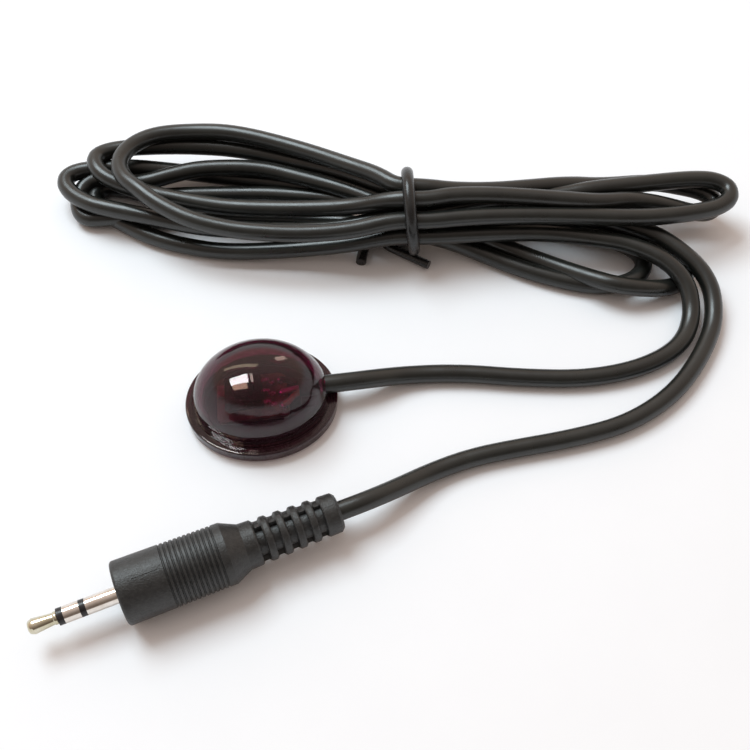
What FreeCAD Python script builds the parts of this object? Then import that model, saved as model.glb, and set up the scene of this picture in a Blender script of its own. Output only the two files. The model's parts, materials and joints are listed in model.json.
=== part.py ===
import FreeCAD, Part
import math
import os

from FreeCAD import Matrix, Placement, Rotation, Vector

# Infrared receiver cable: a stick-on receiver head, one cord wound into a tied hank,
# and a three-contact plug. Millimetres. The origin is the centre of the head's underside,
# +X runs along the head's long axis towards its cord and +Z is up.

# Cord
cord_diameter = 3.0
core_wire_diameter = 0.9
fit_clearance = 0.05

# Receiver head: pad, flange and dome
head_long_radius = 12.1
head_short_radius = 10.3
pad_inset = 0.4
pad_thickness = 0.6
flange_thickness = 1.95
flange_lip_width = 1.1
flange_lip_height = 0.4
flange_edge_radius = 0.35
dome_long_radius = 10.6
dome_short_radius = 8.4
dome_wall = 1.2
dome_skirt_height = 1.3
dome_crown_height = 9.9
dome_root_height = 0.3
dome_root_width = 0.35
cord_exit_rise = 0.2
cord_mouth_flare = 0.7
cord_mouth_depth = 0.9

# Receiver head: base plate and circuit
base_thickness = 1.2
base_play = 0.1
base_lead_in = 0.3
board_stand_off = 0.6
board_post_radius = 0.7
board_thickness = 0.8
board_to_dome_gap = 2.4
board_length = 11.2
board_half_width = 4.0
board_corner_radius = 1.0
board_post_inset = 0.9
cradle_to_dome_gap = 1.0
cradle_length = 2.2
cradle_width = 4.4
cradle_below_axis = 0.4
cord_past_cradle = 0.2
receiver_inset = 1.4
receiver_length = 6.0
receiver_width = 5.2
receiver_thickness = 2.6
receiver_draft = 0.25
receiver_seat_gap = 0.1
lens_radius = 1.9
lens_from_back = 2.9
lead_pitch = 2.0
lead_width = 0.5
lead_thickness = 0.4
lead_rise = 1.1
lead_reach = 1.1
lead_foot = 0.8
chip_length = 2.0
chip_width = 1.25
chip_height = 0.6
chip_end_cap = 0.4
capacitor_inset = 0.8
capacitor_y = 1.4
resistor_inset = 4.4
resistor_edge_gap = 0.1
joint_radius = 0.65
joint_inset = 0.9
joint_pitch = 2.4

# Plug, measured along its own axis from the cord end to the tip
plug_contact_diameter = 2.5
plug_reach = 12.5
relief_length = 14.6
relief_rear_diameter = 6.0
relief_front_diameter = 6.9
shoulder_length = 2.5
body_diameter = 9.5
body_rear_diameter = 9.2
body_length = 16.0
body_edge_radius = 0.5
relief_end_chamfer = 0.45
slot_count = 5
slot_first = 3.1
slot_pitch = 2.24
slot_width = 1.1
slot_arc = 140.0
slot_core_diameter = 4.2
slot_turn = -52.0
rib_dip_depth = 0.4
rib_dip_width = 1.6
grip_groove_count = 12
grip_groove_pitch = 0.685
grip_groove_width = 0.34
grip_groove_depth = 0.17
grip_groove_floor = 0.1
grip_from_shoulder = 1.1
seam_width = 0.25
seam_depth = 0.12
seam_length = 4.0
seam_from_front = 2.5
seam_turn = -8.0
tip_nose_radius = 0.62
tip_nose_length = 0.75
tip_nose_swell = 0.32
tip_head_radius = 1.18
tip_head_length = 0.35
tip_waist_radius = 0.8
tip_waist_back = 3.0
tip_collar_radius = 0.92
tip_collar_back = 3.2
tip_length = 3.8
insulator_ring_length = 0.85
ring_contact_length = 2.3
tip_rod_radius = 0.33
tip_tube_radius = 0.5
ring_tube_radius = 0.68
ring_sleeve_radius = 0.88
sleeve_flange_radius = 2.6
sleeve_flange_length = 0.9
sleeve_buried_length = 1.6
contact_step = 1.5
tag_radius = 1.5
tag_thickness = 0.35
tag_width = 1.0
tag_length = 2.6
inner_mould_diameter = 6.4
inner_mould_length = 10.5
jacket_in_plug = 18.5
core_offset = 0.8

# Place of the hank on the surface
hank_centre = Vector(28.7, 30.5, 0)
hank_heading = -10.5
waist_height = 7.7
waist_radius = 5.4
waist_half_length = 2.2
waist_widening = 0.001
tie_wire_diameter = 2.1
tie_lean = 9.5
tie_lean_heading = 44.0

# Hank outline: station along the hank, its near and far side, its underside and top
waist_near = -waist_radius - waist_widening
waist_far = waist_radius + waist_widening
waist_bottom = waist_height - waist_radius
waist_top = waist_height + waist_radius
hank_sections = [
    (-62.6, 3.4, 10.6, 2.2, 6.6),
    (-57.5, -0.8, 15.0, 0.4, 9.6),
    (-47, -5.2, 18.8, 0.2, 11.0),
    (-34, -7.6, 18.6, 0.2, 10.8),
    (-20, -7.2, 13.4, 0.4, 11.2),
    (-9, -6.2, 8.0, 1.4, 12.2),
    (-waist_half_length, waist_near, waist_far, waist_bottom, waist_top),
    (waist_half_length, waist_near, waist_far, waist_bottom, waist_top),
    (10, -6.8, 6.6, 1.0, 13.4),
    (24, -10.4, 8.8, 0.2, 12.8),
    (38, -13.2, 12.4, 0.2, 11.4),
    (48, -9.6, 13.0, 0.3, 10.4),
    (53.4, -1.0, 11.4, 2.2, 9.8),
    (56.2, 4.4, 9.0, 5.4, 8.8),
]

# Place of the plug, and the routes of the free cord ends: the points that the runs pass by
cord_radius = cord_diameter / 2
cord_lift = cord_radius
head_cord_height = pad_thickness + flange_thickness + cord_exit_rise + cord_lift
dome_inner_long_radius = dome_long_radius - dome_wall
dome_inner_short_radius = dome_short_radius - dome_wall
cradle_back_x = dome_inner_long_radius - cradle_to_dome_gap - cradle_length
cord_end_x = cradle_back_x - cord_past_cradle
plug_heading = 194.5
plug_rear_x = 9.7
plug_rear_y = -22.3
straight_out_of_plug = 4.6
straight_out_of_head = 4.2
plug_rear = Vector(plug_rear_x, plug_rear_y, body_diameter / 2)
away_from_plug = Rotation(Vector(0, 0, 1), plug_heading).multVec(Vector(-1, 0, 0))
head_cord_route = [
    Vector(cord_end_x, 0, head_cord_height),
    Vector(dome_long_radius + straight_out_of_head, 0, head_cord_height),
    Vector(23.4, 1.7, cord_lift),
    Vector(32.4, 0.8, cord_lift),
    Vector(42.0, -1.5, cord_lift),
    Vector(52.4, -3.2, cord_lift),
    Vector(62.0, -2.4, cord_lift),
    Vector(69.2, 0.7, cord_lift),
    Vector(72.9, 6.0, 1.7),
    Vector(73.3, 11.5, 3.9),
    Vector(70.2, 16.4, 5.2),
    Vector(64.8, 20.3, 5.3),
]
plug_cord_route = [
    plug_rear,
    plug_rear + away_from_plug * straight_out_of_plug,
    Vector(18.6, -19.2, 3.4),
    Vector(24.8, -16.3, 1.7),
    Vector(31.0, -14.7, cord_lift),
    Vector(37.4, -14.1, cord_lift),
    Vector(47.2, -13.6, cord_lift),
    Vector(57.0, -12.2, cord_lift),
    Vector(65.8, -7.8, cord_lift),
    Vector(72.4, -1.2, cord_lift),
    Vector(76.8, 5.6, 1.7),
    Vector(77.2, 12.9, 3.9),
    Vector(72.0, 20.4, 5.0),
]
run_share_for_arc = 0.45

# Tie: the tails of the wire leave from under the hank, in the hank's own frame
tie_ring_radius = waist_radius / math.cos(math.radians(tie_lean)) + fit_clearance + tie_wire_diameter / 2
tie_wire_height = waist_height - tie_ring_radius
tie_tail_routes = [
    [Vector(0.2, 2.6, tie_wire_height), Vector(-1.6, -0.4, tie_wire_height), Vector(-8.3, -5.6, tie_wire_height)],
    [Vector(-1.8, 2.6, tie_wire_height), Vector(-2.6, -3.1, tie_wire_height), Vector(3.3, -6.6, tie_wire_height)],
]

# Heights and lengths that follow from the sizes above
flange_top = pad_thickness + flange_thickness
dome_base = flange_top - flange_lip_height
dome_top = dome_base + dome_skirt_height + dome_crown_height
base_top = pad_thickness + base_thickness
board_bottom = base_top + board_stand_off
board_top = board_bottom + board_thickness
board_back_x = board_to_dome_gap - dome_inner_long_radius
board_front_x = board_back_x + board_length
receiver_back_x = board_back_x + receiver_inset
capacitor_x = board_back_x + capacitor_inset
resistor_x = board_back_x + resistor_inset
resistor_y = board_half_width - resistor_edge_gap - chip_width / 2
joint_x = board_front_x - joint_inset
core_radius = core_wire_diameter / 2
contact_radius = plug_contact_diameter / 2
body_radius = body_diameter / 2
body_rear_radius = body_rear_diameter / 2
shoulder_x = relief_length + shoulder_length
body_front_x = shoulder_x + body_length
plug_length = body_front_x + plug_reach
tip_back_x = plug_length - tip_length
ring_front_x = tip_back_x - insulator_ring_length
ring_back_x = ring_front_x - ring_contact_length
sleeve_front_x = ring_back_x - insulator_ring_length
sleeve_back_x = body_front_x - sleeve_buried_length
ring_tube_back_x = sleeve_back_x - contact_step
rod_back_x = ring_tube_back_x - 2 * contact_step
inner_mould_back_x = sleeve_back_x - inner_mould_length


def oval_wire(centre, across, upward):
    """Ellipse about a centre, given its two radii as vectors."""
    if across.Length >= upward.Length:
        ellipse = Part.Ellipse(centre + across, centre + upward, centre)
    else:
        ellipse = Part.Ellipse(centre + upward, centre - across, centre)
    return Part.Wire(ellipse.toShape())


def oval_prism(x_radius, y_radius, bottom, top):
    """Upright oval block."""
    outline = oval_wire(Vector(0, 0, bottom), Vector(x_radius, 0, 0), Vector(0, y_radius, 0))
    return Part.Face(outline).extrude(Vector(0, 0, top - bottom))


def oval_dome(x_radius, y_radius, bottom, skirt, crown):
    """Upright oval skirt with half an ellipsoid on top."""
    stretch = Matrix()
    stretch.scale(x_radius, y_radius, crown)
    cap = Part.makeSphere(1, Vector(0, 0, 0), Vector(0, 0, 1), 0, 90, 360).transformGeometry(stretch)
    cap.translate(Vector(0, 0, bottom + skirt))
    return oval_prism(x_radius, y_radius, bottom, bottom + skirt).fuse(cap)


def turned(profile):
    """Solid of revolution about X of a closed outline of (x, radius) points."""
    corners = [Vector(x, 0, radius) for x, radius in profile]
    face = Part.Face(Part.makePolygon(corners + corners[:1]))
    return face.revolve(Vector(0, 0, 0), Vector(1, 0, 0), 360)


def bar(radius, back, front):
    """Round bar along X."""
    return Part.makeCylinder(radius, front - back, Vector(back, 0, 0), Vector(1, 0, 0))


def centred_box(length, width, height, x, y, bottom):
    """Box centred on x and y that stands on a height."""
    return Part.makeBox(length, width, height, Vector(x - length / 2, y - width / 2, bottom))


def rounded_path(points, name):
    """Straight runs joined by tangent arcs as large as the shorter run at each corner allows."""
    edges = []
    here = points[0]
    radii = []
    for before, corner, after in zip(points, points[1:], points[2:]):
        run_in = corner - before
        run_out = after - corner
        reach = run_share_for_arc * min(run_in.Length, run_out.Length)
        heading_in = run_in * (1 / run_in.Length)
        heading_out = run_out * (1 / run_out.Length)
        half_turn = heading_in.getAngle(heading_out) / 2
        radius = reach / math.tan(half_turn)
        inward = heading_out - heading_in
        inward = inward * (1 / inward.Length)
        arc_start = corner - heading_in * reach
        arc_middle = corner + inward * (radius / math.cos(half_turn) - radius)
        arc_end = corner + heading_out * reach
        edges.append(Part.LineSegment(here, arc_start).toShape())
        edges.append(Part.Arc(arc_start, arc_middle, arc_end).toShape())
        here = arc_end
        radii.append(radius)
    edges.append(Part.LineSegment(here, points[-1]).toShape())
    print(name, "bend radii:", ", ".join(f"{radius:.1f}" for radius in radii))
    return Part.Wire(edges)


def round_wire(points, radius, name):
    """Round tube solid along a route, checked against its section times its length."""
    path = rounded_path(points, name)
    start = points[0]
    section = Part.Wire(Part.makeCircle(radius, start, points[1] - start))
    solid = path.makePipeShell([section], True, False)
    expected = math.pi * radius ** 2 * path.Length
    print(name, f"length {path.Length:.1f}, volume ratio {solid.Volume / expected:.4f}")
    return solid


def on_plug(shape):
    """Moves a shape from the plug's own axis to where the plug lies."""
    placed = shape.copy()
    placed.Placement = Placement(plug_rear, Rotation(Vector(0, 0, 1), plug_heading)).multiply(placed.Placement)
    return placed


def on_hank(shape):
    """Moves a shape from the hank's own frame to where the hank lies."""
    placed = shape.copy()
    placed.Placement = Placement(hank_centre, Rotation(Vector(0, 0, 1), hank_heading)).multiply(placed.Placement)
    return placed


# Receiver head

def head_cavity():
    """Space under the dome, open through the flange."""
    skirt = dome_base + dome_skirt_height - pad_thickness
    crown = dome_crown_height - dome_wall
    return oval_dome(dome_inner_long_radius, dome_inner_short_radius, pad_thickness, skirt, crown)


def cord_mouth():
    """Round cord hole through the end of the dome, flared on the outside."""
    hole_radius = cord_radius + fit_clearance
    hole = bar(hole_radius, cord_end_x, head_long_radius + cord_diameter)
    flare_back = dome_long_radius - cord_mouth_depth
    flare_front = dome_long_radius + cord_diameter
    flare_end_radius = hole_radius + cord_mouth_flare * (flare_front - flare_back) / cord_mouth_depth
    flare = turned([(flare_back, 0), (flare_back, hole_radius), (flare_front, flare_end_radius), (flare_front, 0)])
    mouth = hole.fuse(flare)
    mouth.translate(Vector(0, 0, head_cord_height))
    above_flange = Part.makeBox(30, 30, 30, Vector(0, -15, dome_base))
    return mouth.common(above_flange)


def head_cover():
    """Dome and flange, one clear moulding with a raised lip round the flange."""
    flange = oval_prism(head_long_radius, head_short_radius, pad_thickness, flange_top)
    rim_edges = [edge for edge in flange.Edges if abs(edge.CenterOfMass.z - flange_top) < 1e-6 and edge.Length > 1]
    flange = flange.makeFillet(flange_edge_radius, rim_edges)
    lip_long = head_long_radius - flange_lip_width
    lip_short = head_short_radius - flange_lip_width
    flange = flange.cut(oval_prism(lip_long, lip_short, dome_base, flange_top + 1))
    root_long = dome_long_radius + dome_root_width
    root_short = dome_short_radius + dome_root_width
    root = oval_prism(root_long, root_short, dome_base, dome_base + dome_root_height)
    dome = oval_dome(dome_long_radius, dome_short_radius, dome_base, dome_skirt_height, dome_crown_height)
    return flange.fuse(root).fuse(dome).cut(head_cavity()).cut(cord_mouth())


def base_plate():
    """Plate that closes the underside, with posts for the board and a cradle for the cord."""
    long_radius = dome_inner_long_radius - base_play
    short_radius = dome_inner_short_radius - base_play
    plate = oval_prism(long_radius, short_radius, pad_thickness, base_top)
    lead_in_edges = [edge for edge in plate.Edges if abs(edge.CenterOfMass.z - base_top) < 1e-6]
    plate = plate.makeChamfer(base_lead_in, lead_in_edges)
    for x in (board_back_x + 2 * board_post_inset, board_front_x - board_post_inset):
        for y in (-board_half_width + board_post_inset, board_half_width - board_post_inset):
            plate = plate.fuse(Part.makeCylinder(board_post_radius, board_stand_off, Vector(x, y, base_top)))
    cradle_top = head_cord_height - cradle_below_axis
    cradle_x = cradle_back_x + cradle_length / 2
    cradle = centred_box(cradle_length, cradle_width, cradle_top - base_top, cradle_x, 0, base_top)
    seat = bar(cord_radius + fit_clearance, cord_end_x - 1, head_long_radius)
    seat.translate(Vector(0, 0, head_cord_height))
    return plate.fuse(cradle).cut(seat).removeSplitter()


def adhesive_pad():
    """Foam pad under the flange and the base plate."""
    return oval_prism(head_long_radius - pad_inset, head_short_radius - pad_inset, 0, pad_thickness)


def circuit_board():
    """Board on the base plate's posts."""
    length = board_front_x - board_back_x
    centre_x = (board_front_x + board_back_x) / 2
    board = centred_box(length, 2 * board_half_width, board_thickness, centre_x, 0, board_bottom)
    corners = [edge for edge in board.Edges if abs(edge.tangentAt(edge.FirstParameter).z) > 0.9]
    return board.makeFillet(board_corner_radius, corners)


def receiver_module():
    """Moulded receiver with drafted sides and a lens on top."""
    bottom = board_top + receiver_seat_gap
    middle = bottom + receiver_thickness / 2
    centre_x = receiver_back_x + receiver_length / 2

    def outline(inset, height):
        half_length = receiver_length / 2 - inset
        half_width = receiver_width / 2 - inset
        corners = [(-1, -1), (1, -1), (1, 1), (-1, 1), (-1, -1)]
        return Part.makePolygon([Vector(centre_x + i * half_length, j * half_width, height) for i, j in corners])

    lower = Part.makeLoft([outline(receiver_draft, bottom), outline(0, middle)], True)
    upper = Part.makeLoft([outline(0, middle), outline(receiver_draft, bottom + receiver_thickness)], True)
    lens_centre = Vector(receiver_back_x + lens_from_back, 0, bottom + receiver_thickness)
    lens = Part.makeSphere(lens_radius, lens_centre, Vector(0, 0, 1), 0, 90, 360)
    return lower.fuse(upper).fuse(lens).removeSplitter()


def receiver_lead(index):
    """Bent lead from the receiver's front face down to the board."""
    y = (index - 1) * lead_pitch
    face_x = receiver_back_x + receiver_length
    top = board_top + lead_rise + lead_thickness
    bend_x = face_x + lead_reach
    foot_top = board_top + lead_thickness
    side = [
        (face_x, top), (bend_x, top), (bend_x, foot_top), (bend_x + lead_foot, foot_top),
        (bend_x + lead_foot, board_top), (bend_x - lead_thickness, board_top),
        (bend_x - lead_thickness, top - lead_thickness), (face_x, top - lead_thickness),
    ]
    corners = [Vector(x, y - lead_width / 2, z) for x, z in side]
    return Part.Face(Part.makePolygon(corners + corners[:1])).extrude(Vector(0, lead_width, 0))


def chip(x, y, along_x):
    """Surface-mounted chip with its two end caps standing a little proud."""
    proud = 0.05
    body = centred_box(chip_length, chip_width - 2 * proud, chip_height - proud, 0, 0, 0)
    for end in (-1, 1):
        cap_x = end * (chip_length - chip_end_cap) / 2
        body = body.fuse(centred_box(chip_end_cap, chip_width, chip_height, cap_x, 0, 0))
    turn = 0 if along_x else 90
    body.Placement = Placement(Vector(x, y, board_top), Rotation(Vector(0, 0, 1), turn))
    return body


def core_path(index):
    """Route of one core wire from the cord's end to its pad on the board."""
    side = index - 1
    pad_height = board_top + core_radius
    return [
        Vector(cord_end_x, side * core_offset * 1.1, head_cord_height),
        Vector(cord_end_x - 0.8, side * (core_offset * 1.1 + 0.25), head_cord_height - 0.08),
        Vector(joint_x + 0.9, side * (joint_pitch - 0.35), pad_height + 0.12),
        Vector(joint_x, side * joint_pitch, pad_height),
    ]


def head_core(index):
    """Insulated core wire inside the head."""
    if index == 1:
        start = Vector(cord_end_x, 0, head_cord_height)
        end = Vector(joint_x, 0, board_top + core_radius)
        middle = Vector(joint_x + 1.3, 0, board_top + core_radius + 0.25)
        return round_wire([start, middle, end], core_radius, "head_core_2")
    return round_wire(core_path(index), core_radius, f"head_core_{index + 1}")


def solder_joint(index, core):
    """Solder dome round the end of a core wire."""
    centre = Vector(joint_x, (index - 1) * joint_pitch, board_top)
    dome = Part.makeSphere(joint_radius, centre, Vector(0, 0, 1), 0, 90, 360)
    return dome.cut(core)


# Plug

def tip_contact():
    """Nose, waist and collar of the tip, turned from one rod that runs back to its core wire."""
    return turned([
        (rod_back_x, 0), (rod_back_x, tip_rod_radius),
        (tip_back_x, tip_rod_radius), (tip_back_x, tip_collar_radius),
        (plug_length - tip_collar_back, tip_collar_radius),
        (plug_length - tip_waist_back, tip_waist_radius),
        (plug_length - tip_nose_length - tip_head_length, tip_head_radius),
        (plug_length - tip_nose_length, tip_head_radius),
        (plug_length - tip_nose_swell, (tip_head_radius + tip_nose_radius) / 2 + tip_nose_swell / 4),
        (plug_length, tip_nose_radius), (plug_length, 0),
    ])


def stepped_tube(inner, outer, ring_radius, back, ring_back, ring_front):
    """Tube along the plug with a larger ring at its front."""
    return turned([
        (back, inner), (back, outer), (ring_back, outer),
        (ring_back, ring_radius), (ring_front, ring_radius), (ring_front, inner),
    ])


def solder_tag(back, bore_radius, turn):
    """Round washer with one strip that points back to the core wire."""
    washer = bar(tag_radius, back, back + tag_thickness)
    strip_low = tag_radius - tag_thickness
    strip = Part.makeBox(
        tag_length, tag_width, tag_thickness, Vector(back - tag_length, -tag_width / 2, strip_low))
    tag = washer.fuse(strip).cut(bar(bore_radius, back - tag_length, back + 1))
    tag.rotate(Vector(0, 0, 0), Vector(1, 0, 0), turn)
    return tag


def ring_contact():
    """Ring of the plug, its tube and its solder tag."""
    band = stepped_tube(
        tip_tube_radius, ring_tube_radius, contact_radius, ring_tube_back_x, ring_back_x, ring_front_x)
    return band.fuse(solder_tag(ring_tube_back_x, tip_tube_radius, 0)).removeSplitter()


def sleeve_contact():
    """Sleeve of the plug, the sloped flange that holds it in the moulding, and its solder tag."""
    flange_front = sleeve_back_x + sleeve_flange_length
    sleeve = turned([
        (sleeve_back_x, ring_sleeve_radius), (sleeve_back_x, sleeve_flange_radius),
        (flange_front, sleeve_flange_radius), (body_front_x, contact_radius),
        (sleeve_front_x, contact_radius), (sleeve_front_x, ring_sleeve_radius),
    ])
    strip_reach = tag_length + contact_step
    strip = Part.makeBox(
        strip_reach, tag_width, tag_thickness,
        Vector(sleeve_back_x - strip_reach, -tag_width / 2, sleeve_flange_radius - tag_thickness))
    strip.rotate(Vector(0, 0, 0), Vector(1, 0, 0), 180)
    return sleeve.fuse(strip).removeSplitter()


def tip_insulator():
    """Ring and tube between the tip's rod and the ring contact."""
    return stepped_tube(
        tip_rod_radius, tip_tube_radius, contact_radius, ring_tube_back_x, ring_front_x, tip_back_x)


def ring_insulator():
    """Ring and tube between the ring contact and the sleeve."""
    return stepped_tube(
        ring_tube_radius, ring_sleeve_radius, contact_radius, sleeve_back_x, sleeve_front_x, ring_back_x)


def plug_core(index):
    """Core wire from the end of the cord's jacket to its contact."""
    start = Vector(jacket_in_plug, 0, (1 - index) * core_offset * 1.15)
    if index == 1:
        return bar(core_radius, jacket_in_plug, rod_back_x)
    tag_back = ring_tube_back_x if index == 0 else sleeve_back_x - contact_step
    tag_inner = tag_radius - tag_thickness if index == 0 else sleeve_flange_radius - tag_thickness
    side = 1 - index
    height = side * (tag_inner + tag_thickness + core_radius) if index == 0 else side * (tag_inner - core_radius)
    end_x = tag_back - tag_length / 2
    middle = Vector((start.x + end_x) / 2, 0, (start.z + 2 * height) / 3)
    return round_wire([start, middle, Vector(end_x, 0, height)], core_radius, f"plug_core_{index + 1}")


def relief_slot(position, turn):
    """One pair of slots across the strain relief, on opposite sides."""
    half = slot_width / 2
    ring = bar(body_radius, position - half, position + half)
    ring = ring.cut(bar(slot_core_diameter / 2, position - half, position + half))
    half_arc = math.radians(slot_arc / 2)
    wedges = []
    for side in (1, -1):
        spread = body_diameter * math.tan(half_arc)
        corners = [
            Vector(position - half, 0, 0),
            Vector(position - half, -spread, side * body_diameter),
            Vector(position - half, spread, side * body_diameter),
        ]
        face = Part.Face(Part.makePolygon(corners + corners[:1]))
        wedges.append(face.extrude(Vector(slot_width, 0, 0)))
    slots = ring.common(wedges[0].fuse(wedges[1]))
    slots.rotate(Vector(0, 0, 0), Vector(1, 0, 0), turn)
    return slots


def relief_dip(position):
    """Profile points of one rounded dip between two ribs of the strain relief, at the ring of slots."""
    slope = (relief_front_diameter - relief_rear_diameter) / 2 / relief_length
    shares = [(-0.5, 0), (-0.4, 0.22), (-0.3, 0.7), (-0.2, 1), (0.2, 1), (0.3, 0.7), (0.4, 0.22), (0.5, 0)]
    points = []
    for along, depth in shares:
        x = position + along * rib_dip_width
        points.append((x, relief_rear_diameter / 2 + slope * x - depth * rib_dip_depth))
    return points


def grip_groove(start):
    """Profile points of one narrow groove of the grip, with sloping sides."""
    side = (grip_groove_width - grip_groove_floor) / 2
    slope = (body_radius - body_rear_radius) / body_length
    shares = [(0, 0), (side, 1), (side + grip_groove_floor, 1), (grip_groove_width, 0)]
    points = []
    for along, depth in shares:
        radius = body_rear_radius + slope * (start + along - shoulder_x)
        points.append((start + along, radius - depth * grip_groove_depth))
    return points


def overmould_skin():
    """Outer form of the plug: ribbed strain relief, shoulder and grooved grip."""
    grip_start = shoulder_x + grip_from_shoulder
    profile = [
        (0, 0), (0, relief_rear_diameter / 2 - relief_end_chamfer),
        (relief_end_chamfer, relief_rear_diameter / 2),
    ]
    for index in range(slot_count):
        profile += relief_dip(slot_first + index * slot_pitch)
    profile += [(relief_length, relief_front_diameter / 2), (shoulder_x, body_rear_radius)]
    for index in range(grip_groove_count):
        profile += grip_groove(grip_start + index * grip_groove_pitch)
    profile += [(body_front_x, body_radius), (body_front_x, 0)]
    skin = turned(profile)
    front_edges = [
        edge for edge in skin.Edges
        if abs(edge.BoundBox.XMin - body_front_x) < 1e-6 and abs(edge.BoundBox.ZMax - body_radius) < 1e-3
    ]
    return skin.makeFillet(body_edge_radius, front_edges)


def seam_line():
    """Shallow line where the mould halves met, along the top of the front of the body."""
    front = body_front_x - seam_from_front
    seam = Part.makeBox(
        seam_length, seam_width, 1, Vector(front - seam_length, -seam_width / 2, body_radius - seam_depth))
    seam.rotate(Vector(0, 0, 0), Vector(1, 0, 0), seam_turn)
    return seam


def plug_overmould(buried):
    """Outer moulding of the plug, with its rings of slots, round everything buried in it."""
    solid = overmould_skin().cut(seam_line())
    for index in range(slot_count):
        solid = solid.cut(relief_slot(slot_first + index * slot_pitch, slot_turn))
    for piece in buried:
        solid = solid.cut(piece)
    return solid


def inner_mould(buried):
    """Hard first moulding that holds the tags and the ends of the core wires."""
    solid = bar(inner_mould_diameter / 2, inner_mould_back_x, sleeve_back_x)
    for piece in buried:
        solid = solid.cut(piece)
    return solid


# Hank and tie

def hank_section(station, near, far, bottom, top):
    """Oval wire across the hank."""
    centre = Vector(station, (near + far) / 2, (bottom + top) / 2)
    return oval_wire(centre, Vector(0, (far - near) / 2, 0), Vector(0, 0, (top - bottom) / 2))


def cord_hank(cut_by):
    """Outer shape of the tied hank, as one solid, with sockets for the two free cord ends."""
    solid = on_hank(Part.makeLoft([hank_section(*values) for values in hank_sections], True, False))
    for piece in cut_by:
        solid = solid.cut(piece)
    return solid


def hank_tie():
    """Round tie wire about the waist, with its twisted tails spread below."""
    wire_radius = tie_wire_diameter / 2
    lean = math.radians(tie_lean)
    sideways = math.radians(tie_lean_heading)
    axis = Vector(
        math.cos(lean), math.sin(lean) * math.cos(sideways), math.sin(lean) * math.sin(sideways))
    tie = Part.makeTorus(tie_ring_radius, wire_radius, Vector(0, 0, waist_height), axis)
    for index, route in enumerate(tie_tail_routes):
        tie = tie.fuse(round_wire(route, wire_radius, f"tie_tail_{index + 1}"))
    return on_hank(tie.removeSplitter())


def export(shape, name):
    """Writes one node and reports its solids and volume."""
    shape.exportStep(f"parts/{name}.step")
    print(name, "solids", len(shape.Solids), "valid", shape.isValid(), f"volume {shape.Volume:.2f}")


def main():
    os.makedirs("parts", exist_ok=True)
    nodes = {
        "head_cover": head_cover(),
        "base_plate": base_plate(),
        "adhesive_pad": adhesive_pad(),
        "circuit_board": circuit_board(),
        "receiver_module": receiver_module(),
        "filter_capacitor": chip(capacitor_x, capacitor_y, False),
        "filter_resistor": chip(resistor_x, resistor_y, True),
    }
    cord_to_head = round_wire(head_cord_route, cord_radius, "cord_to_head")
    cord_to_plug = round_wire(plug_cord_route, cord_radius, "cord_to_plug")
    for index in range(3):
        core = head_core(index).cut(cord_to_head)
        nodes[f"receiver_lead_{index + 1}"] = receiver_lead(index)
        nodes[f"head_core_{index + 1}"] = core
        nodes[f"solder_joint_{index + 1}"] = solder_joint(index, core)

    nodes["cord_to_head"] = cord_to_head
    nodes["cord_to_plug"] = cord_to_plug
    nodes["cord_hank"] = cord_hank([cord_to_head, cord_to_plug])
    nodes["hank_tie"] = hank_tie()

    contacts = {
        "tip_contact": tip_contact(),
        "tip_insulator": tip_insulator(),
        "ring_contact": ring_contact(),
        "ring_insulator": ring_insulator(),
        "sleeve_contact": sleeve_contact(),
    }
    jacket = bar(cord_radius, 0, jacket_in_plug)
    cores = {}
    for index, contact in enumerate(("ring_contact", "tip_contact", "sleeve_contact")):
        cores[f"plug_core_{index + 1}"] = plug_core(index).cut(jacket).cut(contacts[contact])
    buried = list(contacts.values()) + list(cores.values())
    mould = inner_mould(buried)
    plug = {**contacts, **cores, "plug_cord_end": jacket, "inner_mould": mould}
    plug["plug_overmould"] = plug_overmould(buried + [jacket, mould])
    for name, shape in plug.items():
        nodes[name] = on_plug(shape)

    for name, shape in nodes.items():
        export(shape, name)


main()
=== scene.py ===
import json
import math

import bmesh
import bpy
from mathutils import Matrix, Vector


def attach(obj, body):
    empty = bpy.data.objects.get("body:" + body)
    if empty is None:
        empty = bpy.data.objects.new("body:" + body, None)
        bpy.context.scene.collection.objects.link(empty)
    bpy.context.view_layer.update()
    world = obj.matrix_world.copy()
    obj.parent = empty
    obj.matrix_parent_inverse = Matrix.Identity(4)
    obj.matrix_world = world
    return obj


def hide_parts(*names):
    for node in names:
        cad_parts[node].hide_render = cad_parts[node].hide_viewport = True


# Infrared receiver cable, dressed. The scene is in metres; sizes and places are given in millimetres.
MM = 0.001

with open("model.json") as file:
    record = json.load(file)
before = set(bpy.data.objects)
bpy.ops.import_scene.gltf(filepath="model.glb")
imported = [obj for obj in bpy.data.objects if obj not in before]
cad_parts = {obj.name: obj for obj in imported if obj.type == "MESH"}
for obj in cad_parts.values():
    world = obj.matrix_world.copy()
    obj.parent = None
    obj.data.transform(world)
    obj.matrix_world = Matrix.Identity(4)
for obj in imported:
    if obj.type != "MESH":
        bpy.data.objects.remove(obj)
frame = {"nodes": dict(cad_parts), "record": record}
bpy.context.scene.view_settings.view_transform = "Standard"
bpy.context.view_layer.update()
nodes = frame["nodes"]

# Camera
CAMERA_AT = Vector((5.99, -87.08, 146.0))
CAMERA_LOOK = Vector((0.0737, 0.5247, -0.848))
CAMERA_LENS = 50.4

# Cord
CORD_DIAMETER = 3.0
LIFT = CORD_DIAMETER / 2    # height of its middle where it lies on the floor
EXIT_HEIGHT = 4.25
CORD_IN_PLUG = 1.5          # its curve ends this far inside the plug's rear

# Frames of the plug and the hank
PLUG_REAR = Vector((9.7, -22.3, 4.75))
PLUG_TURN = math.radians(194.5)    # its x then runs from its rear to its tip
HANK_CENTRE = Vector((28.7, 30.5, 0))
HANK_TURN = math.radians(-10.5)

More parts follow.
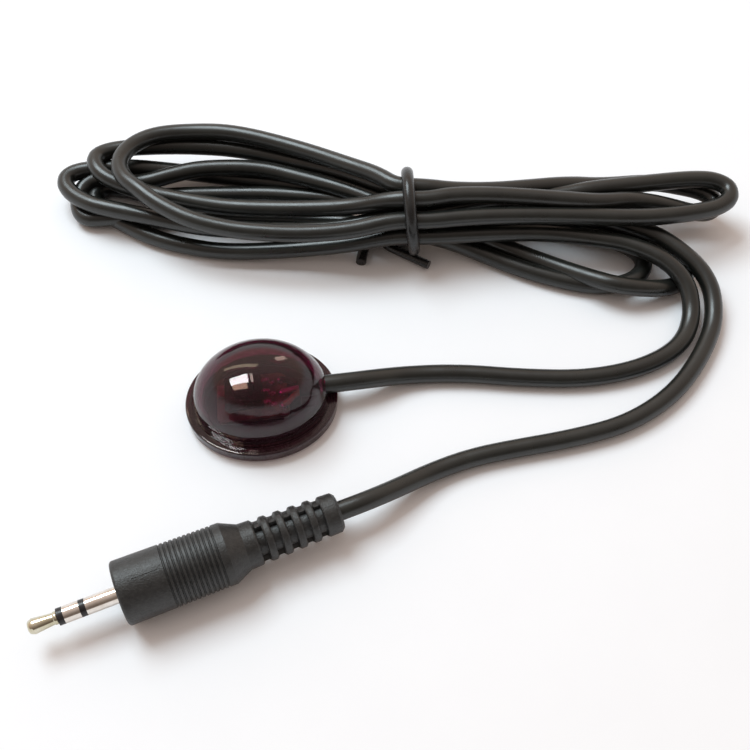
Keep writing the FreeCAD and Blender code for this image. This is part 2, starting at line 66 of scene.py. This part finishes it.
# Free ends of the cord, from inside the head to the hank and from the hank to the plug
HEAD_ROUTE = [
    (6.0, 0, EXIT_HEIGHT), (14.8, 0, EXIT_HEIGHT), (23.4, 1.7, LIFT), (32.4, 0.8, LIFT),
    (42.0, -1.5, LIFT), (52.4, -3.2, LIFT), (62.0, -2.4, LIFT), (69.2, 0.7, LIFT),
    (72.9, 6.0, 1.7), (73.3, 11.5, 3.9), (70.2, 16.4, 5.2), (64.8, 20.3, 5.3),
]
PLUG_ROUTE = [
    (72.0, 20.4, 5.0), (77.2, 12.9, 3.9), (76.8, 5.6, 1.7), (72.4, -1.2, LIFT), (65.8, -7.8, LIFT),
    (57.0, -12.2, LIFT), (47.2, -13.6, LIFT), (37.4, -14.1, LIFT), (31.0, -14.7, LIFT),
    (24.8, -16.3, 1.7), (18.6, -19.2, 3.4), (14.15, -21.15, 4.75), (9.7, -22.3, 4.75),
]

# The hank, from the head's cord to the plug's, in the hank's frame: along it, across it, height.
# Each row of the loops says where the strand passes through the tie, as across and height, to which
# end of the hank it goes on from there, 1 for the end where the cord comes in and -1 for the other,
# and its points on the way round that end and back.
TIE_HALF = 2.6    # a strand runs straight this far to each side of the tie's middle
HANK_IN = [(33.0, -2.8, 5.4), (24.7, -2.0, 5.6), (18.1, -2.3, 5.8), (9.0, -3.3, 6.0)]
HANK_LOOPS = [
    ((-4.1, 6.1), -1, [
        (11, -4.9, 4.0), (22.4, -5.2, 2.3), (32.3, -5.4, LIFT), (40.2, -4.2, LIFT), (46.2, -2.3, LIFT),
        (51.2, 0.4, LIFT), (55.4, 2.8, LIFT), (57.6, 6.0, LIFT), (56.2, 8.6, LIFT), (51.8, 8.4, LIFT),
        (46.4, 6.8, LIFT), (41.0, 7.5, LIFT), (32.9, 8.0, LIFT), (24.6, 8.0, 2.0), (11, 6.1, 3.2)]),
    ((1.6, 3.7), 1, [
        (10, 2.6, 3.0), (19.5, 2.9, 2.5), (27, 2.2, LIFT), (33.7, 1.1, LIFT), (39.2, -1.2, LIFT),
        (41.0, -4.2, LIFT), (40.3, -6.8, LIFT), (37.8, -9.0, LIFT), (32.9, -10.1, LIFT),
        (27.2, -9.2, LIFT), (20.6, -7.2, LIFT), (14.0, -4.4, LIFT), (8.0, -2.6, 2.8)]),
    ((-1.7, 3.7), -1, [
        (10, 1.2, 2.8), (19.3, 2.0, 2.0), (28.5, 2.4, LIFT), (37.2, 2.2, LIFT), (44.5, 1.8, LIFT),
        (50.2, 1.2, 2.2), (54.4, 0.9, 2.0), (58.0, 0.8, 1.7), (59.8, 3.4, 1.8), (59.8, 7.2, 2.4),
        (57.4, 9.2, 3.2), (53.0, 8.4, 4.0), (48.6, 7.2, 4.4), (43.5, 9.3, 4.6), (38.1, 11.1, 4.8),
        (27.6, 11.5, 5.0), (19.9, 9.4, 5.0), (11, 6.3, 5.6)]),
    ((1.3, 6.9), 1, [
        (10.8, -0.7, 3.4), (18.6, -3.1, 1.6), (25.0, -6.2, 2.0), (30.0, -9.0, 3.0), (35.3, -11.8, 4.3),
        (41.2, -11.3, 3.0), (45.6, -9.6, 1.6), (48.2, -6.9, LIFT), (48.2, -3.0, LIFT), (45.2, -0.2, LIFT),
        (41.7, 2.0, LIFT), (33.8, 3.4, 2.0), (19.5, 4.4, 3.0), (10, 4.4, 4.4)]),
    ((4.0, 5.6), -1, [
        (10, 6.6, 3.8), (20.2, 9.9, 2.5), (33.3, 12.0, LIFT), (43.5, 12.4, 2.4), (51.2, 11.4, 4.2),
        (58.4, 10.5, 4.3), (61.8, 9.0, 4.4), (62.2, 6.5, 4.5), (60.0, 3.8, 4.6), (56.5, 1.7, 4.8),
        (53.1, 0.7, 5.0), (45.4, -0.9, 5.0), (36.4, -2.8, 4.8), (28, -3.0, 4.8), (19, -2.9, 5.0),
        (10, -2.5, 6.0)]),
    ((-0.9, 8.2), 1, [
        (8, 2.0, 7.2), (15.4, 3.9, 6.9), (25.7, 4.7, 7.8), (30.9, 5.6, 8.6), (38.6, 7.1, 8.5),
        (45.1, 8.7, 8.0), (49.2, 9.3, 8.0), (52.8, 9.3, 8.0), (55.4, 7.9, 7.8), (55.4, 5.4, 7.6),
        (53.4, 3.6, 7.6), (51.0, 2.4, 7.8), (44.2, 0.4, 8.3), (37.8, -0.7, 8.8), (32.2, -0.9, 9.0),
        (19.8, -1.5, 9.5), (10, -2.5, 9.8)]),
    ((-3.8, 9.8), -1, [
        (10.1, -5.9, 9.0), (18.5, -6.5, 8.5), (25.3, -6.4, 8.5), (31.1, -5.9, 8.5), (37.7, -4.5, 9.0),
        (43.7, -1.4, 9.5), (47.4, 1.6, 9.8), (50.2, 4.0, 9.5), (51.8, 7.8, 9.0), (50.8, 12.2, 8.5),
        (47.0, 15.8, 8.0), (40.7, 17.4, 7.5), (32.2, 17.1, 8.0), (20.0, 13.0, 8.5), (10.6, 7.9, 10.0),
        (6.0, 5.2, 11.0)]),
    ((2.2, 11.5), 1, [
        (6.8, 2.6, 10.5), (13.4, 3.5, 9.7), (20.1, 5.1, 9.0), (27.1, 7.3, 7.8), (33.4, 8.6, 6.2),
        (42.5, 10.8, 5.3), (47.4, 10.5, 4.8), (51.4, 9.7, 4.6), (53.6, 8.2, 4.5), (54.1, 6.5, 4.4),
        (52.4, 4.8, 4.2), (49.1, 4.7, 4.6), (45.9, 4.8, 5.6), (41.6, 4.6, 7.0), (37.4, 3.7, 8.4),
        (32.3, 1.9, 9.5), (26.3, 1.3, 10.5), (19.7, 1.2, 11.0),
        (13.2, 1.0, 11.4), (6.8, 0.3, 11.8)]),
    ((-0.9, 11.8), -1, [
        (10, 0.1, 8.2), (19.1, 0.7, 6.5), (30.7, 1.3, 5.5), (37.0, 2.1, 5.5), (46.3, 3.6, 6.0),
        (51.6, 5.0, 6.5), (55.0, 6.7, 7.0), (56.7, 9.2, 7.0), (56.8, 11.9, 6.5), (53.8, 14.0, 6.0),
        (47.9, 15.3, 5.5), (40.9, 16.2, 5.0), (32.4, 15.9, 5.0), (23.9, 14.0, 5.0), (12.5, 10.2, 6.2)]),
]
HANK_LAST_PLACE = (4.3, 7.8)
HANK_OUT = [(10, 4.5, 6.6), (19.1, 3.9, 6.0), (27, 3.2, 5.8), (33.1, 2.2, 5.5), (39.2, 0.4, 5.1)]

# Tie, in the hank's frame
TIE_DIAMETER = 2.1
TIE_RADIUS = 6.68
TIE_HEIGHT = 7.7
TIE_LEAN = math.radians(7.5)    # the ring's axis leans this far from the hank's
TIE_SIDE = math.radians(44)     # and to this side, from across towards up
# Shares of the radius at even steps round the ring
TIE_SQUEEZE = (1, 0.995, 1.005, 1, 1.01, 1, 0.995, 1.005, 1, 0.995, 1, 1.01, 1.005, 1, 0.995, 1)

# Tails of the tie: thickness as a share of the ring's wire, and points in the hank's frame
TIE_TAILS = [
    (0.88, [(0.2, 2.6, 1.1), (-3.6, 1.0, 1.12), (-7.4, -1.0, 1.1), (-8.2, -4.0, 1.1), (-8.3, -6.2, 1.0)]),
    (0.74, [(-0.6, 2.4, 1.12), (-4.0, 0.6, 1.15), (-4.8, -1.8, 1.15), (-1.6, -3.75, 1.1), (3.5, -6.4, 1.2)]),
]

# Nose of the plug, as stations from its back end and their radii
TIP_BACK = 41.8    # place of its back end along the plug
TIP_SIDES = 72
TIP_PROFILE = [
    (0.0, 0.92), (0.02, 0.95), (0.5, 0.95), (0.52, 0.93), (0.58, 0.87), (0.62, 0.86),
    (1.1, 0.90), (2.1, 1.01), (3.1, 1.12), (3.4, 1.15), (3.46, 1.15), (3.5, 1.13),
    (3.75, 1.04), (4.0, 0.90), (4.08, 0.82), (4.14, 0.66), (4.16, 0.6), (4.17, 0.15),
]

# Dome plastic, from the flange's look to the dome's. Noise scales are in waves per metre.
FLANGE_FADE = (2.6, 3.4)    # heights between which the look changes
FLANGE_WINE = ((0.13, 0.045, 0.07), (0.21, 0.08, 0.115))
DOME_WINE = ((0.76, 0.42, 0.58), (0.88, 0.54, 0.70))
TRANSMISSION = (0.82, 0.98)
DOME_ROUGH = (0.008, 0.02)
DOME_IOR = 1.46
CLOUD_SCALE = 220
WIPE_SCALE = 500
DYE_COLOUR = (0.60, 0.02, 0.43, 1)
DYE_DENSITY = 2100

# Nickel
NICKEL_ROUGH = (0.08, 0.17)
TARNISH_SCALE = 700
STREAK_SCALE = 9000
STREAK_STRETCH = (1, 0.03, 0.03)
STREAK_DEPTH = 0.0012

# Moulded plastic
SCUFFS_PER_PATCH = 2.4

# Floor
FLOOR_HALF = 3000    # half its width
FLOOR_WHITES = ((0.905, 0.925, 0.965), (0.915, 0.935, 0.975))
FLOOR_ROUGH = 0.9
FLOOR_SPECULAR = 0.1
PAPER_SCALE = 60
FADE_CENTRE = Vector((22, 8, 0))
FLOOR_FADE = (90, 170)    # distances over which it fades to plain white

# Room, by the direction in which a ray leaves
ROOM_LOW = (0.72, 0.53, 0.41)
ROOM_HIGH = (0.68, 0.58, 0.52)
ROOM_RISE = (0.0, 0.9)          # the direction's z, from the low colour to the high one
ROOM_FRONT = 0.28
ROOM_BEHIND = 1.35
ROOM_DEPTH = (-0.75, 0.35)      # the direction's y, from the front's strength to the back's
BACKDROP_FADE = (0.18, 0.34)    # the direction's z where the backdrop's white ends

# Window, as seen from the head
WINDOW_AZIMUTH = math.radians(122)
WINDOW_ELEVATION = math.radians(57)
WINDOW_DISTANCE = 680
WINDOW_SIZE = (360, 340)
WINDOW_WATTS = 3.65
WINDOW_COLOUR = (0.80, 0.94, 1.0)

# Panes that the dome mirrors: name, middle, size, turn in degrees, radiance and colour
PANE_HEIGHT = 600
PANES = [
    ("upper sash", (-375, -85), (420, 230), 0, 26, (0.98, 0.99, 1.0)),
    ("lower sash", (-395, -290), (370, 170), 0, 8, (1.0, 0.66, 0.48)),
    ("side sash", (-104, -104), (44, 216), 0, 8, (1.0, 0.85, 0.75)),
    ("sill", (-400, 370), (860, 100), -22, 4, (1.0, 0.82, 0.58)),
    ("shelf", (560, 680), (600, 160), 46, 6, (1.0, 0.75, 0.62)),
]

# Colour sockets of Blender's Mix node, which share their names with its other sockets
MIX_FIRST = 6
MIX_SECOND = 7
MIX_RESULT = 2


def placed(point, turn, origin):
    """Row-frame point, in metres, of a point in a frame with this origin and turn about z."""
    return (origin + Matrix.Rotation(turn, 3, "Z") @ Vector(point)) * MM


def at_hank(along, across, height):
    """Row-frame point of a point in the hank's frame."""
    return placed((along, across, height), HANK_TURN, HANK_CENTRE)


def at_plug(x, y, z):
    """Row-frame point of a point in the plug's frame."""
    return placed((x, y, z), PLUG_TURN, PLUG_REAR)


def cord_points():
    """Control points of the whole cord, from the head to the plug."""
    points = [Vector(point) * MM for point in HEAD_ROUTE]
    points += [at_hank(*point) for point in HANK_IN]
    side = 1
    for tie_place, next_side, loop in HANK_LOOPS:
        points.append(at_hank(side * TIE_HALF, *tie_place))
        points.append(at_hank(-side * TIE_HALF, *tie_place))
        points += [at_hank(next_side * along, across, height) for along, across, height in loop]
        side = next_side
    points.append(at_hank(side * TIE_HALF, *HANK_LAST_PLACE))
    points.append(at_hank(-side * TIE_HALF, *HANK_LAST_PLACE))
    points += [at_hank(*point) for point in HANK_OUT]
    points += [Vector(point) * MM for point in PLUG_ROUTE]
    points.append(at_plug(CORD_IN_PLUG, 0, 0))
    return points


def add_object(name, data):
    """New object in the scene's own collection."""
    obj = bpy.data.objects.new(name, data)
    bpy.context.collection.objects.link(obj)
    return obj


def make_camera():
    """The photo's camera."""
    data = bpy.data.cameras.new("camera")
    data.sensor_width = 36
    data.sensor_fit = "HORIZONTAL"
    data.lens = CAMERA_LENS
    data.clip_start = 0.005
    data.clip_end = 10
    camera = add_object("camera", data)
    back = -CAMERA_LOOK.normalized()
    across = Vector((0, 0, 1)).cross(back).normalized()
    above = back.cross(across)
    axes = Matrix((across, above, back)).transposed()
    camera.matrix_world = Matrix.Translation(CAMERA_AT * MM) @ axes.to_4x4()
    bpy.context.scene.camera = camera


def round_wire(name, diameter, strands, roundness):
    """Curve of round section. A strand is its points, whether it closes, and its share of the diameter."""
    curve = bpy.data.curves.new(name, "CURVE")
    curve.dimensions = "3D"
    for points, closed, thickness in strands:
        spline = curve.splines.new("NURBS")
        spline.points.add(len(points) - 1)
        for control, point in zip(spline.points, points):
            control.co = (*point, 1)
            control.radius = thickness
        spline.order_u = 3
        spline.use_endpoint_u = not closed
        spline.use_cyclic_u = closed
        spline.resolution_u = 8
    curve.bevel_depth = diameter / 2 * MM
    curve.bevel_resolution = roundness
    curve.use_fill_caps = True
    return add_object(name, curve)


def make_cord():
    """The whole cord as one open curve."""
    return round_wire("cord", CORD_DIAMETER, [(cord_points(), False, 1.0)], roundness=5)


def make_tie():
    """Bent round wire: a leaning ring about the hank and two tails below it."""
    lean_across = math.sin(TIE_LEAN) * math.cos(TIE_SIDE)
    lean_up = math.sin(TIE_LEAN) * math.sin(TIE_SIDE)
    axis = Vector((math.cos(TIE_LEAN), lean_across, lean_up))
    across = Vector((0, 0, 1)).cross(axis).normalized()
    above = axis.cross(across)
    ring = []
    for index, squeeze in enumerate(TIE_SQUEEZE):
        angle = math.tau * index / len(TIE_SQUEEZE)
        spoke = (across * math.cos(angle) + above * math.sin(angle)) * TIE_RADIUS * squeeze
        ring.append(at_hank(*(Vector((0, 0, TIE_HEIGHT)) + spoke)))
    strands = [(ring, True, 1.0)]
    for thickness, tail in TIE_TAILS:
        strands.append(([at_hank(*point) for point in tail], False, thickness))
    return round_wire("tie", TIE_DIAMETER, strands, roundness=6)


def make_tip():
    """Nose of the plug: its profile turned about the plug's axis."""
    form = bmesh.new()
    rings = []
    for station, radius in TIP_PROFILE:
        ring = []
        for index in range(TIP_SIDES):
            angle = math.tau * index / TIP_SIDES
            point = at_plug(TIP_BACK + station, radius * math.cos(angle), radius * math.sin(angle))
            ring.append(form.verts.new(point))
        rings.append(ring)
    for first, second in zip(rings, rings[1:]):
        for index in range(TIP_SIDES):
            after = (index + 1) % TIP_SIDES
            form.faces.new((first[index], second[index], second[after], first[after]))
    form.faces.new(rings[0])
    form.faces.new(rings[-1])
    bmesh.ops.recalc_face_normals(form, faces=form.faces)
    mesh = bpy.data.meshes.new("tip")
    form.to_mesh(mesh)
    form.free()
    for face in mesh.polygons:
        face.use_smooth = True
    return add_object("tip", mesh)


def new_material(name):
    """A new material with one Principled shader."""
    material = bpy.data.materials.new(name)
    material.use_nodes = True
    tree = material.node_tree
    tree.nodes.clear()
    output = tree.nodes.new("ShaderNodeOutputMaterial")
    shader = tree.nodes.new("ShaderNodeBsdfPrincipled")
    tree.links.new(shader.outputs["BSDF"], output.inputs["Surface"])
    return material, tree, shader


def output_of(tree):
    """The output node of a material's tree."""
    return next(node for node in tree.nodes if node.bl_idname == "ShaderNodeOutputMaterial")


def noise(tree, scale, detail=3.0, roughness=0.55, stretch=(1, 1, 1), turn=(0, 0, 0)):
    """Noise over the object's own coordinates, which are metres in the row frame."""
    place = tree.nodes.new("ShaderNodeTexCoord")
    mapping = tree.nodes.new("ShaderNodeMapping")
    mapping.inputs["Scale"].default_value = stretch
    mapping.inputs["Rotation"].default_value = turn
    texture = tree.nodes.new("ShaderNodeTexNoise")
    texture.inputs["Scale"].default_value = scale
    texture.inputs["Detail"].default_value = detail
    texture.inputs["Roughness"].default_value = roughness
    tree.links.new(place.outputs["Object"], mapping.inputs["Vector"])
    tree.links.new(mapping.outputs["Vector"], texture.inputs["Vector"])
    return texture.outputs["Fac"]


def between(tree, factor, low, high, start=0.35, end=0.65):
    """A value between two numbers, or a colour between two colours, as the factor goes from start to end."""
    if isinstance(low, (int, float)):
        node = tree.nodes.new("ShaderNodeMapRange")
        node.inputs["From Min"].default_value = start
        node.inputs["From Max"].default_value = end
        node.inputs["To Min"].default_value = low
        node.inputs["To Max"].default_value = high
        tree.links.new(factor, node.inputs["Value"])
        return node.outputs["Result"]
    node = tree.nodes.new("ShaderNodeValToRGB")
    node.color_ramp.elements[0].position = start
    node.color_ramp.elements[0].color = (*low, 1)
    node.color_ramp.elements[1].position = end
    node.color_ramp.elements[1].color = (*high, 1)
    tree.links.new(factor, node.inputs["Fac"])
    return node.outputs["Color"]


def combined(tree, operation, first, second):
    """Result of a Math node whose two inputs are linked."""
    node = tree.nodes.new("ShaderNodeMath")
    node.operation = operation
    tree.links.new(first, node.inputs[0])
    tree.links.new(second, node.inputs[1])
    return node.outputs["Value"]


def mixed(tree, share, first, second):
    """Mix of two shaders, with the share of the second."""
    node = tree.nodes.new("ShaderNodeMixShader")
    tree.links.new(share, node.inputs[0])
    tree.links.new(first, node.inputs[1])
    tree.links.new(second, node.inputs[2])
    return node.outputs["Shader"]


def bump(tree, shader, height, distance):
    """Shades the surface as if it rose by up to this distance, in metres."""
    node = tree.nodes.new("ShaderNodeBump")
    node.inputs["Strength"].default_value = 1.0
    node.inputs["Distance"].default_value = distance
    tree.links.new(height, node.inputs["Height"])
    tree.links.new(node.outputs["Normal"], shader.inputs["Normal"])


def moulded(name, dark, light, rough, grain_size, grain_depth, patch_size, specular=0.5, metallic=0.0):
    """Slight colour patches, uneven gloss and a fine grain, with sizes in millimetres."""
    material, tree, shader = new_material(name)
    patches = noise(tree, 1 / (patch_size * MM), detail=4.0)
    tree.links.new(between(tree, patches, dark, light), shader.inputs["Base Color"])
    scuffs = noise(tree, SCUFFS_PER_PATCH / (patch_size * MM), detail=6.0, roughness=0.65)
    tree.links.new(between(tree, scuffs, *rough), shader.inputs["Roughness"])
    grain = noise(tree, 1 / (grain_size * MM), detail=2.0)
    bump(tree, shader, grain, grain_depth * MM)
    shader.inputs["Specular IOR Level"].default_value = specular
    shader.inputs["Metallic"].default_value = metallic
    return material


def nickel(name, dull, bright):
    """Turned nickel: fine streaks across the pin and faint tarnish."""
    material, tree, shader = new_material(name)
    shader.inputs["Metallic"].default_value = 1.0
    tarnish = noise(tree, TARNISH_SCALE, detail=4.0)
    tree.links.new(between(tree, tarnish, dull, bright), shader.inputs["Base Color"])
    streaks = noise(
        tree, STREAK_SCALE, detail=2.0, roughness=0.5, stretch=STREAK_STRETCH, turn=(0, 0, -PLUG_TURN))
    tree.links.new(between(tree, streaks, *NICKEL_ROUGH), shader.inputs["Roughness"])
    bump(tree, shader, streaks, STREAK_DEPTH * MM)
    return material


def dome_plastic():
    """Dark wine-red clear plastic: the deeper the light goes through it, the darker it gets."""
    material, tree, shader = new_material("dome plastic")
    cloud = noise(tree, CLOUD_SCALE, detail=2.0)
    place = tree.nodes.new("ShaderNodeTexCoord")
    split = tree.nodes.new("ShaderNodeSeparateXYZ")
    tree.links.new(place.outputs["Object"], split.inputs["Vector"])
    above = between(tree, split.outputs["Z"], 0.0, 1.0, *(height * MM for height in FLANGE_FADE))
    mix = tree.nodes.new("ShaderNodeMix")
    mix.data_type = "RGBA"
    tree.links.new(above, mix.inputs["Factor"])
    tree.links.new(between(tree, cloud, *FLANGE_WINE), mix.inputs[MIX_FIRST])
    tree.links.new(between(tree, cloud, *DOME_WINE), mix.inputs[MIX_SECOND])
    tree.links.new(mix.outputs[MIX_RESULT], shader.inputs["Base Color"])
    tree.links.new(between(tree, above, *TRANSMISSION, 0.0, 1.0), shader.inputs["Transmission Weight"])
    wipe = noise(tree, WIPE_SCALE, detail=5.0, roughness=0.6)
    tree.links.new(between(tree, wipe, *DOME_ROUGH), shader.inputs["Roughness"])
    shader.inputs["IOR"].default_value = DOME_IOR
    dye = tree.nodes.new("ShaderNodeVolumeAbsorption")
    dye.inputs["Color"].default_value = DYE_COLOUR
    dye.inputs["Density"].default_value = DYE_DENSITY
    tree.links.new(dye.outputs["Volume"], output_of(tree).inputs["Volume"])
    return material


def make_materials():
    """All finishes, by material slot, and the one of the plug's nose."""
    return {
        "cord": moulded(
            "cord jacket", (0.0065, 0.0074, 0.0066), (0.0125, 0.0138, 0.0120), (0.27, 0.36),
            0.22, 0.004, 6.0, specular=0.6),
        "tie": moulded(
            "tie wire", (0.009, 0.009, 0.0095), (0.016, 0.016, 0.016), (0.24, 0.32),
            0.6, 0.006, 2.0, specular=0.45),
        "plug_body": moulded(
            "moulded plug", (0.006, 0.006, 0.006), (0.019, 0.019, 0.0185), (0.38, 0.52),
            0.24, 0.07, 0.6, specular=0.6),
        "insulator": moulded(
            "insulator", (0.014, 0.012, 0.013), (0.024, 0.021, 0.022), (0.26, 0.36),
            0.3, 0.003, 1.0, specular=0.4),
        "inner_mould": moulded(
            "inner mould", (0.55, 0.53, 0.47), (0.66, 0.64, 0.58), (0.4, 0.5), 0.3, 0.004, 2.0),
        "base": moulded(
            "base plate", (0.020, 0.014, 0.016), (0.034, 0.026, 0.028), (0.3, 0.42), 0.3, 0.006, 2.0),
        "pad": moulded(
            "foam pad", (0.50, 0.47, 0.46), (0.66, 0.63, 0.62), (0.75, 0.9), 0.12, 0.03, 0.8),
        "board": moulded(
            "circuit board", (0.16, 0.13, 0.06), (0.26, 0.22, 0.11), (0.3, 0.4), 0.25, 0.004, 1.5),
        "receiver": moulded(
            "receiver moulding", (0.020, 0.010, 0.014), (0.034, 0.020, 0.024), (0.12, 0.2), 0.5, 0.003, 2.0),
        "chip": moulded(
            "chip", (0.40, 0.30, 0.20), (0.52, 0.42, 0.30), (0.3, 0.4), 0.2, 0.003, 0.6),
        "core_red": moulded(
            "red core", (0.50, 0.02, 0.015), (0.62, 0.04, 0.03), (0.3, 0.4), 0.3, 0.002, 1.0),
        "core_white": moulded(
            "white core", (0.70, 0.68, 0.64), (0.80, 0.78, 0.74), (0.3, 0.4), 0.3, 0.002, 1.0),
        "core_black": moulded(
            "black core", (0.02, 0.02, 0.02), (0.03, 0.03, 0.03), (0.3, 0.4), 0.3, 0.002, 1.0),
        "tinned": moulded(
            "tinned metal", (0.62, 0.62, 0.63), (0.76, 0.76, 0.77), (0.18, 0.34),
            0.3, 0.006, 0.8, metallic=1.0),
        "contact": nickel("turned nickel", (0.70, 0.64, 0.58), (0.82, 0.77, 0.72)),
        "tip": nickel("tip nickel", (0.54, 0.50, 0.36), (0.68, 0.64, 0.52)),
        "dome": dome_plastic(),
    }


def seen_as_background(tree):
    """1 for camera, glossy and transmission rays."""
    path = tree.nodes.new("ShaderNodeLightPath")
    total = path.outputs["Is Camera Ray"]
    for name in ("Is Glossy Ray", "Is Transmission Ray"):
        total = combined(tree, "MAXIMUM", total, path.outputs[name])
    return total


def make_floor():
    """Pale floor that keeps the shadows near the object and is seen as plain white further out."""
    reach = FLOOR_HALF * MM
    corners = [(-reach, -reach, 0), (reach, -reach, 0), (reach, reach, 0), (-reach, reach, 0)]
    mesh = bpy.data.meshes.new("floor")
    mesh.from_pydata(corners, [], [(0, 1, 2, 3)])
    floor = add_object("floor", mesh)
    material, tree, shader = new_material("floor")
    paper = noise(tree, PAPER_SCALE, detail=3.0)
    tree.links.new(between(tree, paper, *FLOOR_WHITES), shader.inputs["Base Color"])
    shader.inputs["Roughness"].default_value = FLOOR_ROUGH
    shader.inputs["Specular IOR Level"].default_value = FLOOR_SPECULAR
    place = tree.nodes.new("ShaderNodeTexCoord")
    distance = tree.nodes.new("ShaderNodeVectorMath")
    distance.operation = "DISTANCE"
    distance.inputs[1].default_value = FADE_CENTRE * MM
    tree.links.new(place.outputs["Object"], distance.inputs[0])
    far = between(tree, distance.outputs["Value"], 0.0, 1.0, *(edge * MM for edge in FLOOR_FADE))
    share = combined(tree, "MULTIPLY", far, seen_as_background(tree))
    white = tree.nodes.new("ShaderNodeEmission")
    white.inputs["Color"].default_value = (1, 1, 1, 1)
    surface = mixed(tree, share, shader.outputs["BSDF"], white.outputs["Emission"])
    tree.links.new(surface, output_of(tree).inputs["Surface"])
    mesh.materials.append(material)


def make_world():
    """A warm room, brighter behind the object, and white round the horizon where it is seen."""
    world = bpy.data.worlds.new("room")
    bpy.context.scene.world = world
    world.use_nodes = True
    tree = world.node_tree
    tree.nodes.clear()
    output = tree.nodes.new("ShaderNodeOutputWorld")
    room = tree.nodes.new("ShaderNodeBackground")
    white = tree.nodes.new("ShaderNodeBackground")
    white.inputs["Color"].default_value = (1, 1, 1, 1)
    place = tree.nodes.new("ShaderNodeTexCoord")
    split = tree.nodes.new("ShaderNodeSeparateXYZ")
    tree.links.new(place.outputs["Generated"], split.inputs["Vector"])
    glow = tree.nodes.new("ShaderNodeVectorMath")
    glow.operation = "SCALE"
    tree.links.new(between(tree, split.outputs["Z"], ROOM_LOW, ROOM_HIGH, *ROOM_RISE), glow.inputs[0])
    strength = between(tree, split.outputs["Y"], ROOM_FRONT, ROOM_BEHIND, *ROOM_DEPTH)
    tree.links.new(strength, glow.inputs["Scale"])
    tree.links.new(glow.outputs["Vector"], room.inputs["Color"])
    low = between(tree, split.outputs["Z"], 1.0, 0.0, *BACKDROP_FADE)
    backdrop = combined(tree, "MULTIPLY", low, seen_as_background(tree))
    surface = mixed(tree, backdrop, room.outputs["Background"], white.outputs["Background"])
    tree.links.new(surface, output.inputs["Surface"])


def area_lamp(name, size, watts, colour, place):
    """Rectangular lamp that shines down its own z axis. Size in millimetres."""
    data = bpy.data.lights.new(name, "AREA")
    data.shape = "RECTANGLE"
    data.size = size[0] * MM
    data.size_y = size[1] * MM
    data.energy = watts
    data.color = colour
    lamp = add_object(name, data)
    lamp.matrix_world = place
    return lamp


def linked(name, obj, state):
    """Collection that limits a lamp to one object or keeps it off that object."""
    group = bpy.data.collections.new(name)
    group.objects.link(obj)
    group.collection_objects[0].light_linking.link_state = state
    return group


def make_window():
    """Window that faces the head and lights everything but the dome."""
    level = math.cos(WINDOW_ELEVATION)
    rise = math.sin(WINDOW_ELEVATION)
    away = Vector((level * math.cos(WINDOW_AZIMUTH), level * math.sin(WINDOW_AZIMUTH), rise))
    turn = away.to_track_quat("Z", "Y").to_matrix().to_4x4()
    place = Matrix.Translation(away * (WINDOW_DISTANCE * MM)) @ turn
    window = area_lamp("window", WINDOW_SIZE, WINDOW_WATTS, WINDOW_COLOUR, place)
    window.light_linking.receiver_collection = linked("all but the dome", nodes["head_cover"], "EXCLUDE")


def make_panes():
    """Level panes of light above the floor that only the dome mirrors."""
    on_dome = linked("dome", nodes["head_cover"], "INCLUDE")
    for name, (x, y), size, degrees, radiance, colour in PANES:
        watts = radiance * math.pi * (size[0] * MM) * (size[1] * MM)
        turn = Matrix.Rotation(math.radians(degrees), 4, "Z")
        place = Matrix.Translation(Vector((x, y, PANE_HEIGHT)) * MM) @ turn
        pane = area_lamp(name, size, watts, colour, place)
        pane.visible_diffuse = False
        pane.light_linking.receiver_collection = on_dome


def dress(materials):
    """Gives every CAD node the finish of its material slot."""
    slots = {entry["node"]: entry["material_slot"] for entry in frame["record"]["subparts"]}
    for name, obj in nodes.items():
        obj.data.materials.clear()
        obj.data.materials.append(materials[slots[name]])


make_camera()
cord = make_cord()
tie = make_tie()
tip = make_tip()
materials = make_materials()
dress(materials)
for piece, finish in ((cord, "cord"), (tie, "tie"), (tip, "tip")):
    piece.data.materials.append(materials[finish])
make_world()
make_floor()
make_window()
make_panes()

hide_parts("cord_to_head", "cord_hank", "cord_to_plug")
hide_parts("hank_tie")
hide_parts("tip_contact")
for piece, slot in ((cord, "cord"), (tie, "tie"), (tip, "contact")):
    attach(piece, "root")
